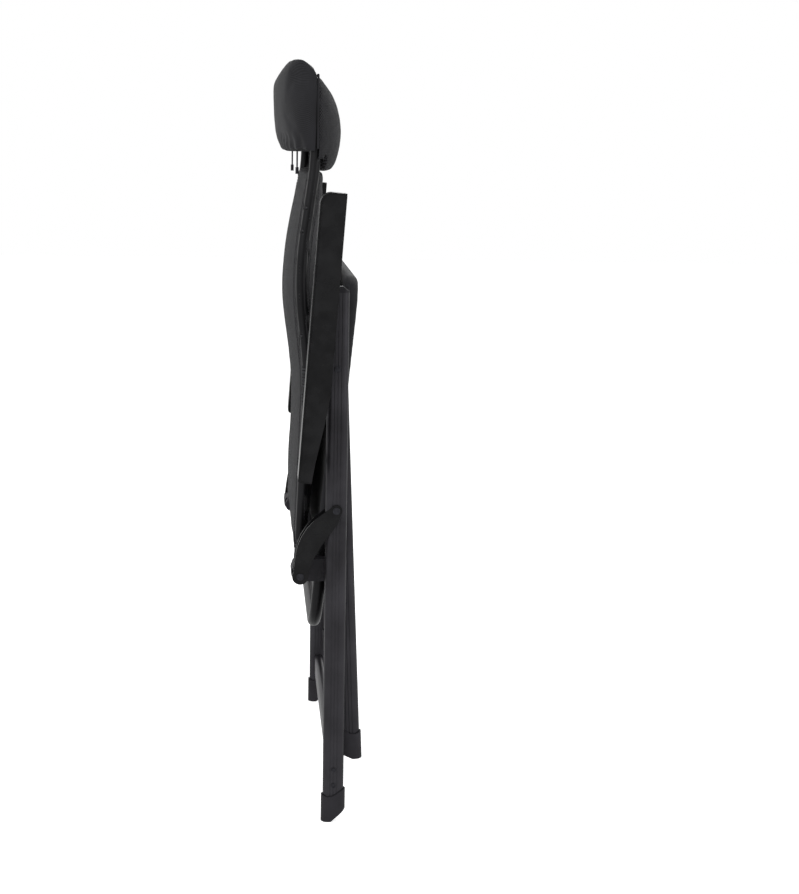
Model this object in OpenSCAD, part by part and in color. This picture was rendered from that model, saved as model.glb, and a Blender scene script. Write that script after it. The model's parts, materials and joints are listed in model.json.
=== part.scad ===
// Folding reclining camp chair, shown folded flat and standing on its rear feet.
// +Z is up, +Y is across the width, and +X is the side of the front legs.

/* [Width] */
// Overall width across the outer faces of the armrests
overall_w = 670; // [640:5:720]
// Width of one armrest
arm_w = 44; // [38:1:50]

/* [Leg tubes] */
// Wide face of a leg tube
leg_w = 32; // [28:1:36]
// Thickness of a leg tube
leg_t = 16; // [14:1:18]
// Wall of a leg tube
leg_wall = 1.6; // [1.2:0.1:2.2]
// Overall length of a rear leg, sole to plug
rear_leg_l = 821; // [800:1:850]
// Main pivot height on the rear leg
pivot_h = 700; // [690:1:715]
// Main pivot to the sole of the front leg
front_leg_l = 608; // [600:1:615]
// Lean of the folded front leg
fold_lean = 2.5; // [2:0.1:3]
// Angle of the rear sole
rear_sole_a = 42; // [36:1:46]
// Angle of the front sole
front_sole_a = 28; // [22:1:34]

/* [Swing links] */
// Link pivot height on the rear leg
link_h = 489; // [484:1:494]
// Seat hinge height when folded
hinge_h = 389; // [384:1:394]
// Distance of the seat hinge behind the rear leg's centre
hinge_back = 53; // [50:1:56]
// Thickness of a link plate
plate_t = 3; // [2:0.1:3.2]
// Radius of a link plate's end
link_r = 11; // [10:0.5:12]

/* [Seat] */
// Diameter of the seat tube
seat_d = 19; // [16:0.5:20]
// Seat pin below the main pivot
seat_drop = 70; // [68:1:74]
// Seat pin to the front edge of the seat
seat_fore = 200; // [180:1:210]
// Seat hinge to the rear bow's outer edge
bow_drop = 104; // [96:1:110]
// Bend radius of the seat tube
seat_bend = 46; // [36:1:60]
// Thickness of the seat pad at its crown
seat_pad_t = 25; // [23:1:28]

/* [Back] */
// Diameter of the back tube
back_d = 16; // [14:0.5:18]
// Seat hinge to the top of the back tube
back_h = 715; // [706:1:724]
// Bend radius of the back tube
back_bend = 70; // [60:1:75]
// Angle of the back's backward sweep
back_sweep = 6.5; // [5:0.5:8]
// Thickness of the back pad at its crown
back_pad_t = 46; // [40:1:50]
// Height of the head pillow
pillow_h = 138; // [130:1:146]
// Thickness of the head pillow in front of the back tube
pillow_t = 40; // [34:1:44]
// Thickness of the hood behind the back tube
hood_t = 56; // [50:1:60]

/* [Armrests] */
// Length of an armrest
arm_l = 418; // [410:1:426]
// Depth of an armrest's skirt at the front
arm_deep = 37; // [34:1:40]
// Depth of an armrest's skirt at the hinge end
arm_thin = 20; // [18:1:24]
// Wall of an armrest
arm_wall = 3; // [2.4:0.1:3.6]
// Armrest hinge above the seat hinge
arm_rise = 168; // [162:1:172]
// Lean of the folded armrest
arm_lean = 4.1; // [3.8:0.1:4.4]

/* [Hidden] */
$fn = 48;

cut = 4;
run_gap = 0.5;
fit_gap = 0.05;
soft_gap = 0.4;
side_gap = 3;
head_t = 2;
thin_head_t = 1.4;
flute_r = 0.9;
flute_pitch = 5;
pin_r = 4;
head_r = 7;
facets_soft = 32;

// Planes across the width, measured from the middle outwards
half_w = overall_w / 2;
arm_in = half_w - arm_w;
plate_out = arm_in - side_gap;
rear_out = plate_out - plate_t - run_gap;
rear_mid = rear_out - leg_t / 2;
rear_in = rear_out - leg_t;
plate_in = rear_in - run_gap - plate_t;
front_out = plate_in - head_t - run_gap;
front_mid = front_out - leg_t / 2;
front_in = front_out - leg_t;
sleeve_t = 1.2;
sleeve_room = soft_gap + sleeve_t;
seat_out = front_in - thin_head_t - run_gap - sleeve_room;
seat_mid = seat_out - seat_d / 2;
back_out = seat_out - seat_d - run_gap - 2 * sleeve_room;
back_mid = back_out - back_d / 2;

// Heights and places in the side view
cap_t = 2.5;
cap_h = 40;
cap_wave = 12;
cap_floor = 4;
plug_h = 9;
rear_plug_a = 38;
front_plug_a = 30;
seat_pin_x = seat_drop * sin(fold_lean);
seat_pin_h = pivot_h - seat_drop * cos(fold_lean);
bracket_reach = 33;
seat_lean = atan((seat_pin_x + hinge_back - bracket_reach) / (seat_pin_h - hinge_h));
seat_aft = (seat_pin_h - hinge_h) / cos(seat_lean);
bracket_r = 13;
bracket_gap = 1;
bow_r = seat_bend;
stretcher_w = 38;
stretcher_t = 14;
rear_stretcher_h = 71;
front_stretcher_up = 262;
rivet_pitch = 25;
rivet_r = 3.5;
rivet_t = 1.2;
shift_x = 20.3;

// Back curve in the side view, as runs of straight tube, each with the bend that follows it.
// A run is a share of the back's height, and a bend is a turn towards -x with its radius.
sweep_r = 500;
neck_r = 300;
back_lean = 2.5;
neck_turn = 8;
back_run_shares = [0.36, 0.056, 0.119];
back_turns = [back_sweep + back_lean, -back_sweep - neck_turn, neck_turn];
back_radii = [sweep_r, sweep_r, neck_r];
end_l = 16;

// Place and heading after i runs with their bends, as [x, z, heading]
function back_after(i) = i == 0 ? [-hinge_back, hinge_h, -back_lean] :
  let (p = back_after(i - 1), run = back_run_shares[i - 1] * back_h, t = back_turns[i - 1],
    r = back_radii[i - 1],
    q = [p[0] - run * sin(p[2]), p[1] + run * cos(p[2])], g = sign(t))
  [q[0] + g * r * (cos(p[2] + t) - cos(p[2])), q[1] + g * r * (sin(p[2] + t) - sin(p[2])), p[2] + t];
// Place a share k of the way round bend i, so the pads follow the bends closely
function bend_at(i, k) = let (e = back_run_ends[i], h = back_after(i)[2], t = back_turns[i] * k,
  g = sign(back_turns[i]),
  r = back_radii[i]) [e[0] + g * r * (sin(h + t) - sin(h)), e[1] + g * r * (cos(h + t) - cos(h))];
back_run_ends = [for (i = [0:2]) let (p = back_after(i), run = back_run_shares[i] * back_h)
  [p[1] + run * cos(p[2]), p[0] - run * sin(p[2])]];
neck = back_after(3);
back_line = concat([[hinge_h, -hinge_back]],
  [for (i = [0:2], k = [0:0.25:1]) bend_at(i, k)],
  [[neck[1] + back_h, neck[0] - back_h * tan(neck[2])]]);
function back_x(rise) = lookup(hinge_h + rise, back_line);

// One ring of a pad: a crowned middle between two round sleeves, in x and y
function ring(x, h, half_thick, half_wide, edge_r, rear, n) = let (q = n / 4, mid = half_wide - edge_r)
  concat(
    [for (i = [0:q - 1]) let (a = 90 - 180 * i / q) [x + edge_r * sin(a), mid + edge_r * cos(a), h]],
    [for (i = [0:q - 1]) let (a = 180 * i / q - 90, k = -i / q * 2 + 1)
      [x - edge_r - rear * (half_thick - edge_r) * pow(max(1 - k * k, 0), 0.42), mid * k, h]],
    [for (i = [0:q - 1]) let (a = 180 * i / q - 90) [x + edge_r * sin(a), -mid - edge_r * cos(a), h]],
    [for (i = [0:q - 1]) let (k = i / q * 2 - 1)
      [x + edge_r + (half_thick - edge_r) * pow(max(1 - k * k, 0), 0.42), mid * k, h]]);

// One ring of a stuffed form with a flat side, bulging to +x or -x
function plump(x, h, thick, half_wide, crown, way, n) =
  [for (i = [0:n - 1]) let (a = 180 * (way > 0 ? i : n - 1 - i) / (n - 1), c = cos(a), s = sin(a),
    y = sign(c) * pow(abs(c), 0.5) * half_wide,
    swell = 1 - crown * pow(abs(y) / half_wide, 4))
    [x + way * pow(abs(s), 0.72) * thick * swell, y, h]];

// Closed skin through a stack of rings of n points each
module skin(rings) {
  n = len(rings[0]);
  m = len(rings);
  points = [for (r = rings) for (p = r) p];
  sides = [for (j = [0:m - 2]) for (i = [0:n - 1]) let (k = (i + 1) % n, a = j * n, b = a + n)
    for (t = [[a + i, b + i, b + k], [a + i, b + k, a + k]]) t];
  bottom = [for (i = [1:n - 2]) [0, i, i + 1]];
  top = [for (i = [1:n - 2]) let (a = (m - 1) * n) [a, a + i + 1, a + i]];
  polyhedron(points, concat(sides, bottom, top));
}

module on_side(side) mirror([0, side < 0 ? 1 : 0, 0]) children();
module both_sides() for (side = [-1, 1]) on_side(side) children();
module across(y0, y1, r) translate([0, y0, 0]) rotate([-90, 0, 0]) cylinder(h = y1 - y0, r = r);

module oval(wide, thick) {
  square([wide - thick, thick], center = true);
  for (s = [-1, 1]) translate([s * (wide - thick) / 2, 0]) circle(d = thick);
}

// Ribbed hollow tube standing on z = 0
module leg_tube(length) {
  linear_extrude(length) difference() {
    oval(leg_w, leg_t);
    oval(leg_w - 2 * leg_wall, leg_t - 2 * leg_wall);
    for (i = [-1:1], s = [-1, 1]) translate([i * flute_pitch, s * (leg_t / 2 + flute_r / 2)])
      circle(flute_r, $fn = 16);
  }
}

// Cap over the end of a leg, with its sole cut to lie flat when the chair is open
module foot(sole_a, toe) {
  outer_w = leg_w + 2 * cap_t;
  outer_t = leg_t + 2 * cap_t;
  difference() {
    linear_extrude(cap_h + cap_wave) oval(outer_w, outer_t);
    translate([0, 0, foot_seat(sole_a)]) linear_extrude(cap_h + cap_wave) oval(leg_w + 2 * fit_gap,
      leg_t + 2 * fit_gap);
    scale([toe, 1, 1]) translate([-outer_w / 10, 0, 0]) rotate([0, -sole_a, 0])
      translate([0, -outer_t, -outer_w * 2]) cube([outer_w * 3, outer_t * 2, outer_w * 2]);
    scale([toe, 1, 1]) rotate([90, 0, 0]) translate([0, 0, -outer_t]) linear_extrude(outer_t * 2)
      polygon([[-outer_w, cap_h + cap_wave / 4], [-outer_w / 2, cap_h + cap_wave / 4], [-outer_w / 4,
        cap_h],
        [0, cap_h + cap_wave / 8], [outer_w / 4, cap_h + cap_wave * 0.7], [outer_w / 2, cap_h + cap_wave],
        [outer_w, cap_h + cap_wave], [outer_w, cap_h * 2], [-outer_w, cap_h * 2]]);
  }
}
function foot_seat(sole_a) = cap_floor + (leg_w * 0.6 + cap_t) * tan(sole_a);

module end_plug(slope) {
  difference() {
    union() {
      linear_extrude(plug_h) oval(leg_w, leg_t);
      translate([0, 0, -plug_h]) linear_extrude(plug_h) oval(leg_w - 2 * leg_wall - 2 * fit_gap,
        leg_t - 2 * leg_wall - 2 * fit_gap);
    }
    translate([leg_w / 5, -leg_t, plug_h]) rotate([0, slope, 0]) cube([leg_w, leg_t * 2, plug_h * 2]);
    translate([-leg_w / 5, -leg_t, plug_h]) mirror([1, 0, 0]) rotate([0, slope, 0]) cube([leg_w,
      leg_t * 2, plug_h * 2]);
  }
}

module hole_at(x, h, mid, r) translate([x, 0, h]) across(mid - leg_t, mid + leg_t, r);

module rear_leg(side) color("#3a3a3d") on_side(side) difference() {
  translate([0, rear_mid, foot_seat(rear_sole_a)])
    leg_tube(rear_leg_l - plug_h - foot_seat(rear_sole_a));
  hole_at(0, pivot_h, rear_mid, pin_r + fit_gap);
  hole_at(0, link_h, rear_mid, pin_r + fit_gap);
  for (s = [-1, 1]) hole_at(0, rear_stretcher_h + s * rivet_pitch / 2, rear_mid, rivet_r / 2);
}

module rear_foot(side) color("#1c1c1e") on_side(side) translate([0, rear_mid, 0]) foot(rear_sole_a, 1);
module rear_plug(side) color("#161618") on_side(side) translate([0, rear_mid, rear_leg_l - plug_h])
  end_plug(rear_plug_a);

module stretcher(inner) rotate([90, 0, 0]) linear_extrude(inner * 2, center = true)
  difference() {
    rotate(90) oval(stretcher_w, stretcher_t);
    rotate(90) oval(stretcher_w - 2 * leg_wall, stretcher_t - 2 * leg_wall);
  }

module rear_stretcher() color("#45454a") translate([0, 0, rear_stretcher_h]) stretcher(rear_in);

module rivets(mid, out, h0) for (s = [-1, 1]) translate([0, 0, h0 + s * rivet_pitch / 2]) {
  across(out, out + rivet_t, rivet_r);
  across(mid - leg_t / 2, out, rivet_r / 2 - fit_gap);
}
module rear_rivets() color("#2a2a2c") both_sides() rivets(rear_mid, rear_out, rear_stretcher_h);

stud_drop = 30;
stud_h = rear_leg_l - stud_drop;
stud_r = 5;
module armrest_studs() color("#141415") both_sides() translate([-stud_r * 1.4, 0, stud_h])
  across(rear_out, arm_in - run_gap, stud_r);

module main_pivot_pins() color("#6c6c70") both_sides() translate([0, 0, pivot_h]) {
  across(front_in - thin_head_t, rear_out, pin_r);
  across(rear_out, rear_out + rivet_t, stud_r);
  across(front_in - thin_head_t, front_in - fit_gap, head_r);
}
module main_pivot_washers() color("#141415") both_sides() translate([0, 0, pivot_h]) difference() {
  across(front_out + fit_gap, rear_in - fit_gap, head_r + cap_t);
  across(front_out - cut, rear_in + cut, pin_r + fit_gap);
}

// Everything on the front leg is drawn hanging from the main pivot
module on_front_leg() translate([0, 0, pivot_h]) rotate([0, -fold_lean, 0]) children();
front_rise = 8;
front_top = leg_w / 2 + front_rise;

module front_leg(side) color("#343437") on_side(side) on_front_leg() difference() {
  translate([0, front_mid, foot_seat(front_sole_a) - front_leg_l])
    leg_tube(front_leg_l + front_top - plug_h - foot_seat(front_sole_a));
  hole_at(0, 0, front_mid, pin_r + fit_gap);
  hole_at(0, -seat_drop, front_mid, pin_r + fit_gap);
  for (s = [-1, 1]) hole_at(0, front_stretcher_up - front_leg_l + s * rivet_pitch / 2, front_mid,
    rivet_r / 2);
}
module front_foot(side) color("#1c1c1e") on_side(side) on_front_leg()
  translate([0, front_mid, -front_leg_l]) foot(front_sole_a, -1);
module front_plugs() color("#161618") both_sides() on_front_leg()
  translate([0, front_mid, front_top - plug_h]) end_plug(front_plug_a);
module front_stretcher() color("#3c3c40") on_front_leg()
  translate([0, 0, front_stretcher_up - front_leg_l]) stretcher(front_in);
module front_rivets() color("#2a2a2c") both_sides() on_front_leg()
  rivets(front_mid, front_out, front_stretcher_up - front_leg_l);

// Swing link: a curved plate from the rear leg down to the seat hinge
link_run = sqrt(pow(hinge_back, 2) + pow(link_h - hinge_h, 2));
link_a = atan(hinge_back / (link_h - hinge_h));
belly_shares = [[0.12, 0.09], [0.24, 0.19], [0.38, 0.27], [0.52, 0.29], [0.66, 0.26], [0.8, 0.17],
  [0.92, 0.08]];
hollow_shares = [[0.88, 0.03], [0.7, 0.055], [0.5, 0.05], [0.3, 0.02], [0.15, 0]];

link_nose_r = link_r * 0.78;
link_low_r = link_r + bracket_gap;
module link_shape() difference() {
  union() {
    circle(link_nose_r);
    translate([0, -link_run]) circle(link_low_r);
    polygon(concat(
      [[-link_nose_r, 0]],
      [for (p = belly_shares) [-link_r - p[1] * link_run / 2, -p[0] * link_run]],
      [[-link_low_r, -link_run], [link_low_r, -link_run]],
      [for (p = hollow_shares) [link_r - p[1] * link_run, -p[0] * link_run]],
      [[link_nose_r, 0]]));
  }
  circle(pin_r + fit_gap);
  translate([0, -link_run]) circle(pin_r + fit_gap);
}
module on_link() translate([0, 0, link_h]) rotate([0, link_a, 0]) children();
module link_plate(y) on_link() translate([0, y + plate_t, 0]) rotate([90, 0, 0])
  linear_extrude(plate_t) link_shape();

module link_outer(side) color("#232325") on_side(side) link_plate(plate_out - plate_t);
module link_inner(side) color("#1e1e20") on_side(side) link_plate(plate_in);
link_head_r = 5.5;
module link_pins(side) color("#7a7a7e") on_side(side) {
  translate([0, 0, link_h]) {
    across(plate_in, plate_out, pin_r);
    across(plate_out, plate_out + rivet_t, link_head_r);
    across(plate_in - head_t + run_gap, plate_in, link_head_r);
  }
  translate([-hinge_back, 0, hinge_h]) {
    across(plate_in, plate_out, pin_r);
    across(plate_out, plate_out + rivet_t, link_head_r);
  }
}
module link_spacer(side) color("#161618") on_side(side) translate([-hinge_back, 0, hinge_h])
  difference() {
  across(plate_in + plate_t + fit_gap, plate_out - plate_t - fit_gap, head_r + bracket_gap);
  across(plate_in, plate_out, pin_r + fit_gap);
}

// Everything on the seat is drawn from the seat pin, with z along the side tube
module on_seat() translate([seat_pin_x, 0, seat_pin_h]) rotate([0, seat_lean, 0]) children();

module rod(y, z0, z1, d) translate([0, y, z0]) cylinder(h = z1 - z0, d = d);

seat_top = seat_fore - seat_d / 2;
seat_low = -seat_aft - bow_drop + seat_d / 2;
module seat_frame() color("#4a4a4f") on_seat() {
  both_sides() difference() {
    rod(seat_mid, seat_low + seat_bend, seat_top - seat_bend, seat_d);
    across(seat_mid - seat_d, seat_mid + seat_d, pin_r + fit_gap);
  }
  for (end = [[seat_top - seat_bend, 1], [seat_low + seat_bend, -1]]) both_sides()
    translate([0, seat_mid - seat_bend, end[0]]) mirror([0, 0, end[1] < 0 ? 1 : 0])
      rotate([90, 0, 90]) rotate_extrude(angle = 90) translate([seat_bend, 0]) circle(d = seat_d);
  for (z = [seat_top, seat_low]) translate([0, 0, z])
    across(-seat_mid + seat_bend, seat_mid - seat_bend, seat_d / 2);
}

// Moulded bracket clamped on the seat tube, carrying the back's hinge pin
module seat_bracket(side) color("#0e0e0f") on_side(side) difference() {
  translate([-hinge_back, 0, hinge_h]) {
    across(seat_mid - seat_d / 2, plate_in - run_gap, bracket_r);
    translate([0, seat_mid - seat_d / 2, -bracket_r])
      cube([bracket_reach + seat_d / 2 + cap_t, plate_in - run_gap - seat_mid + seat_d / 2,
        bracket_r * 2.6]);
  }
  translate([-hinge_back, 0, hinge_h]) across(0, half_w, pin_r + fit_gap);
  translate([-hinge_back + bracket_reach, 0, hinge_h]) across(seat_mid, half_w, rivet_r);
  translate([-hinge_back + bracket_reach, 0, hinge_h]) across(plate_in - run_gap - head_t, half_w,
    head_r);
  on_seat() rod(seat_mid, -seat_aft - bow_drop, 0, seat_d + 2 * fit_gap);
}
module seat_bracket_screws() color("#8a8a8e") both_sides() translate([-hinge_back + bracket_reach, 0,
  hinge_h]) {
  across(seat_out + run_gap, plate_in - run_gap - head_t, rivet_r - fit_gap);
  difference() {
    across(plate_in - run_gap - head_t, plate_in - run_gap - fit_gap, head_r - fit_gap);
    translate([0, plate_in - run_gap - bracket_gap, 0]) rotate([-90, 0, 0]) cylinder(h = cut,
      r = rivet_r / 1.6, $fn = 6);
  }
}
module back_hinge_pins() color("#6c6c70") both_sides() translate([-hinge_back, 0, hinge_h])
  across(back_mid - back_d / 2 - run_gap, plate_in - run_gap * 2, pin_r);

module seat_pivot_pins() color("#6c6c70") both_sides() translate([seat_pin_x, 0, seat_pin_h]) {
  across(seat_mid - seat_d / 2, front_out + head_t, pin_r);
  across(front_out + fit_gap, front_out + head_t, head_r);
}

// Sleeves sewn round the seat tube, and the padded panel held between them
seat_edge_r = seat_d / 2 + soft_gap + sleeve_t;
seat_pad_low = -seat_aft + bracket_r * 2;
seat_pad_l = seat_top - seat_edge_r - soft_gap - seat_pad_low;
panel_edge_r = 7;
seat_ramp_shares = [[0, 0.1], [0.02, 0.45], [0.06, 0.75], [0.14, 0.92], [0.28, 1], [0.42, 1], [0.56,
  1], [0.7, 1]];
seat_corner_shares = [[0, 1], [0.25, 1], [0.5, 0.95], [0.75, 0.8], [0.9, 0.55], [1, 0.2]];
function panel_side(dz) = seat_mid - seat_bend
  + sqrt(max(pow(seat_bend - seat_edge_r - soft_gap, 2) - dz * dz, 0));
function panel_ring(h, dz, share) = ring(0, h, panel_edge_r + (seat_pad_t / 2 - panel_edge_r) * share,
  panel_side(dz), panel_edge_r, 1, facets_soft);
corner_l = seat_bend - seat_edge_r - soft_gap;
module seat_pad() color("#1b1b1d") on_seat() skin(concat(
  [for (p = seat_ramp_shares) panel_ring(seat_pad_low + p[0] * seat_pad_l, 0, p[1])],
  [for (p = seat_corner_shares) let (dz = corner_l * p[0])
    panel_ring(seat_top - seat_bend + dz, dz, p[1])]));

module sleeve_run(d) {
  both_sides() {
    rod(seat_mid, seat_pad_low, seat_top - seat_bend, d);
    translate([0, seat_mid - seat_bend, seat_top - seat_bend])
      rotate([90, 0, 90]) rotate_extrude(angle = 90) translate([seat_bend, 0]) circle(d = d);
  }
  translate([0, 0, seat_top]) across(-seat_mid + seat_bend, seat_mid - seat_bend, d / 2);
}
module seat_sleeve() color("#202023") on_seat() difference() {
  sleeve_run(seat_edge_r * 2);
  sleeve_run(seat_d + 2 * soft_gap);
  both_sides() across(seat_mid, half_w, head_r + run_gap);
}

// One straight run and its bend, with the rest of the path carried on its end.
// A bend is a hair thicker than the runs, and the runs reach a little way into it.
bend_swell = 0.2;
lap = 1;
module bend_arc(r, a, d) translate([-r, 0, 0]) rotate([90, 0, 0]) rotate_extrude(angle = a)
  translate([r, 0]) circle(d = d + bend_swell);
module back_run(i, d, z0) {
  run = back_run_shares[i] * back_h;
  t = back_turns[i];
  r = back_radii[i];
  translate([0, 0, z0]) cylinder(h = run - z0 + lap, d = d);
  translate([0, 0, run]) mirror([t < 0 ? 1 : 0, 0, 0]) {
    bend_arc(r, abs(t), d);
    translate([r * (cos(t) - 1), 0, r * sin(abs(t))]) rotate([0, -abs(t), 0])
      mirror([t < 0 ? 1 : 0, 0, 0]) children();
  }
}
back_mid_bend = back_mid - back_bend;
neck_l = (hinge_h + back_h - back_d / 2 - neck[1]) / cos(neck[2]);
module back_side_tube(d, z0) translate([-hinge_back, back_mid, hinge_h]) rotate([0, back_lean, 0])
  back_run(0, d, z0) back_run(1, d, -lap) back_run(2, d, -lap) {
    translate([0, 0, -lap]) cylinder(h = neck_l - back_bend + 2 * lap, d = d);
    translate([0, 0, neck_l - back_bend]) rotate([0, 0, 90]) bend_arc(back_bend, 90, d);
  }
module back_tube(d, z0) {
  both_sides() back_side_tube(d, z0);
  translate([neck[0], 0, neck[1]]) rotate([0, -neck[2], 0]) translate([0, 0, neck_l])
    across(-back_mid_bend - lap, back_mid_bend + lap, d / 2);
}
module back_frame() color("#3f3f43") difference() {
  back_tube(back_d, end_l);
  both_sides() translate([back_x(arm_rise), 0, hinge_h + arm_rise]) across(back_mid - back_d, half_w,
    pin_r + fit_gap);
}
module back_ends() color("#101011") both_sides() difference() {
  union() {
    translate([-hinge_back, 0, hinge_h]) across(back_mid - back_d / 2, back_out, bracket_r - 2);
    translate([-hinge_back, back_mid, hinge_h]) rotate([0, back_lean, 0])
      translate([-back_d / 2, -back_d / 2, 0]) cube([back_d, back_d, end_l - fit_gap]);
  }
  translate([-hinge_back, 0, hinge_h]) across(0, half_w, pin_r + fit_gap);
}

back_edge_r = back_d / 2 + soft_gap + sleeve_t;
back_pad_low = 2 * bracket_r;
back_pad_share = 0.831;
back_pad_l = back_h * back_pad_share - back_pad_low;
back_pad_w = back_mid + back_edge_r;
// Height, fullness in front and fullness behind, all as shares
back_ramp_shares = [[0, 0.05, 0], [0.02, 0.2, 0], [0.06, 0.4, 0], [0.12, 0.55, 0], [0.2, 0.72, 0],
  [0.28, 0.86, 0], [0.36, 1, 0.1], [0.44, 1, 0.45], [0.52, 1, 0.85], [0.6, 1, 1], [0.68, 1, 1],
  [0.76, 1, 0.8], [0.84, 1, 0.5], [0.91, 1, 0.3], [0.96, 0.95, 0.2], [0.99, 0.7, 0.1], [1, 0.35, 0.1]];
module back_pad() color("#19191b") difference() {
  skin([for (p = back_ramp_shares) let (rise = back_pad_low + p[0] * back_pad_l)
    ring(back_x(rise), hinge_h + rise, back_edge_r + (back_pad_t / 2 - back_edge_r) * p[1], back_pad_w,
      back_edge_r, p[2], facets_soft)]);
  back_tube(back_d + 2 * soft_gap, 0);
  both_sides() translate([back_x(arm_rise), 0, hinge_h + arm_rise]) across(back_mid, half_w,
    head_r + soft_gap);
}

// Pillow in front of the tube and hood behind it, both crowned.
// Pillow rings: height, thickness and width. Hood rings: height, start, end and width. All shares.
pillow_over = 42;
pillow_dip = 24;
pillow_top = hinge_h + back_h + pillow_over;
pillow_low = pillow_top - pillow_dip - pillow_h;
seam_set = 3;
seam_x = neck[0] + seam_set;
pillow_shares = [[0, 0.66, 0.985], [0.06, 0.78, 0.995], [0.14, 0.86, 1], [0.27, 0.95, 1], [0.42, 1, 1],
  [0.56, 0.95, 1], [0.68, 0.84, 1], [0.8, 0.66, 0.99], [0.9, 0.42, 0.98], [0.97, 0.2, 0.97],
  [1, 0.08, 0.965]];
hood_shares = [[0, 0, 0.86, 1], [0.06, 0, 0.9, 1], [0.2, 0, 0.95, 1], [0.42, 0, 0.985, 1], [0.62, 0, 1, 1],
  [0.76, 0, 1, 0.995], [0.82, 0.02, 0.985, 0.99], [0.87, 0.1, 0.96, 0.985], [0.92, 0.18, 0.91, 0.975],
  [0.96, 0.28, 0.86, 0.965], [1, 0.44, 0.78, 0.95]];
hood_h = 134;
hood_over = 6;
hood_w = back_mid + back_d / 2 + hood_over;
soft_points = 20;
recess_r = back_d / 2 + soft_gap;
recess_t = recess_r + seam_set;

// Outline of the tube's arch, grown by r
module arch(r) {
  translate([-back_mid - r, 0]) square([back_mid * 2 + r * 2, hinge_h + back_h - back_d / 2 - back_bend]);
  translate([-back_mid_bend, 0]) square([back_mid_bend * 2, hinge_h + back_h - back_d / 2 + r]);
  for (s = [-1, 1]) translate([s * back_mid_bend, hinge_h + back_h - back_d / 2 - back_bend])
    circle(back_bend + r);
}
module tube_recess() translate([seam_x - recess_t, 0, 0]) rotate([90, 0, 90]) linear_extrude(recess_t * 2)
  difference() {
    arch(recess_r);
    arch(-recess_r);
  }
module head_pillow() color("#1d1d1f") difference() {
  skin([for (p = pillow_shares) plump(seam_x + soft_gap / 2, pillow_low + p[0] * pillow_h,
    pillow_t * p[1], hood_w * p[2], 0.3, 1, soft_points)]);
  tube_recess();
}
module pillow_hood() color("#202023") difference() {
  skin([for (p = hood_shares) plump(seam_x - soft_gap / 2 - hood_t * p[1],
    pillow_top - hood_h + p[0] * hood_h, hood_t * (p[2] - p[1]), hood_w * p[3], 0.2, -1, soft_points)]);
  tube_recess();
}

toggle_d = 5;
toggle_l = 34;
module hood_toggle() color("#0c0c0d") both_sides()
  translate([seam_x - hood_t / 2, back_mid - back_bend, pillow_top - hood_h - toggle_l]) {
    cylinder(h = toggle_l, d = toggle_d / 2);
    cylinder(h = toggle_d * 2, d = toggle_d);
  }

bolt_step = 1.5;
module armrest_bolts() color("#6c6c70") both_sides() translate([back_x(arm_rise), 0,
  hinge_h + arm_rise]) {
  across(back_mid - back_d / 2, arm_in + arm_w / 2, pin_r);
  across(back_out + sleeve_t + run_gap, arm_in - run_gap, pin_r + bolt_step);
}

// Armrest: a channel, open at the front-leg side, with its top to -x when folded
module on_armrest() translate([back_x(arm_rise), 0, hinge_h + arm_rise]) rotate([0, arm_lean, 0])
  children();
arm_tail = 17;
arm_nose = 17;
arm_profile_low = -arm_tail;
arm_profile_top = arm_l - arm_tail;
arm_axis = 12;
arm_corner_r = 5;
module arm_side(inset) {
  z0 = arm_profile_low + inset;
  z1 = arm_profile_top - inset;
  x0 = -arm_axis + inset;
  r = arm_nose - inset;
  difference() {
    union() {
      translate([x0 + r, z1 - r]) circle(r);
      translate([x0 + arm_corner_r, z0 + arm_corner_r]) circle(arm_corner_r);
      polygon([[x0, z0 + arm_corner_r], [x0 + arm_corner_r, z0], [x0 + arm_thin - inset, z0], [x0 + arm_thin,
        z0 + arm_l * 0.07],
        [x0 + arm_thin + (arm_deep - arm_thin) * 0.5, z0 + arm_l * 0.2],
        [x0 + arm_thin + (arm_deep - arm_thin) * 0.8, z0 + arm_l * 0.3],
        [x0 + arm_deep - inset, z0 + arm_l * 0.45],
        [x0 + arm_deep - inset, z1], [x0 + r, z1], [x0, z1 - r]]);
    }
  }
}
module arm_slab(y0, y1, inset) translate([0, y1, 0]) rotate([90, 0, 0]) linear_extrude(y1 - y0)
  arm_side(inset);
module armrest(side) color("#222224") on_side(side) on_armrest() difference() {
  union() {
    difference() {
      union() {
        arm_slab(arm_in, half_w, arm_wall);
        arm_slab(arm_in + arm_wall, half_w - arm_wall, 0);
      }
      translate([arm_wall, 0, 0]) arm_slab(arm_in + arm_wall * 2, half_w - arm_wall * 2, arm_wall);
      translate([arm_wall * 3, 0, 0]) arm_slab(arm_in + arm_wall * 2, half_w - arm_wall * 2, arm_wall);
    }
    across(arm_in + arm_wall, half_w - arm_wall * 1.5, head_r);
  }
  across(0, arm_in + arm_w / 2 + run_gap, pin_r + fit_gap);
}

// Toothed rack inside the armrest's top, ending below its nose
ratchet_start_share = 0.42;
ratchet_l = arm_profile_top - arm_nose - arm_l * ratchet_start_share;
ratchet_t = 14;
ratchet_teeth = 7;
module ratchet(side) color("#101011") on_side(side) on_armrest()
  translate([arm_wall * 2 - arm_axis + fit_gap, 0, arm_l * ratchet_start_share]) difference() {
    translate([0, arm_in + arm_wall * 2 + fit_gap, 0]) cube([ratchet_t, arm_w / 3, ratchet_l]);
    for (i = [0:ratchet_teeth - 1])
      translate([ratchet_t, 0, ratchet_l * (i + 0.7) / (ratchet_teeth + 0.4)]) across(0, half_w, head_r);
  }

module shifted() translate([shift_x, 0, 0]) children();

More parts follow.
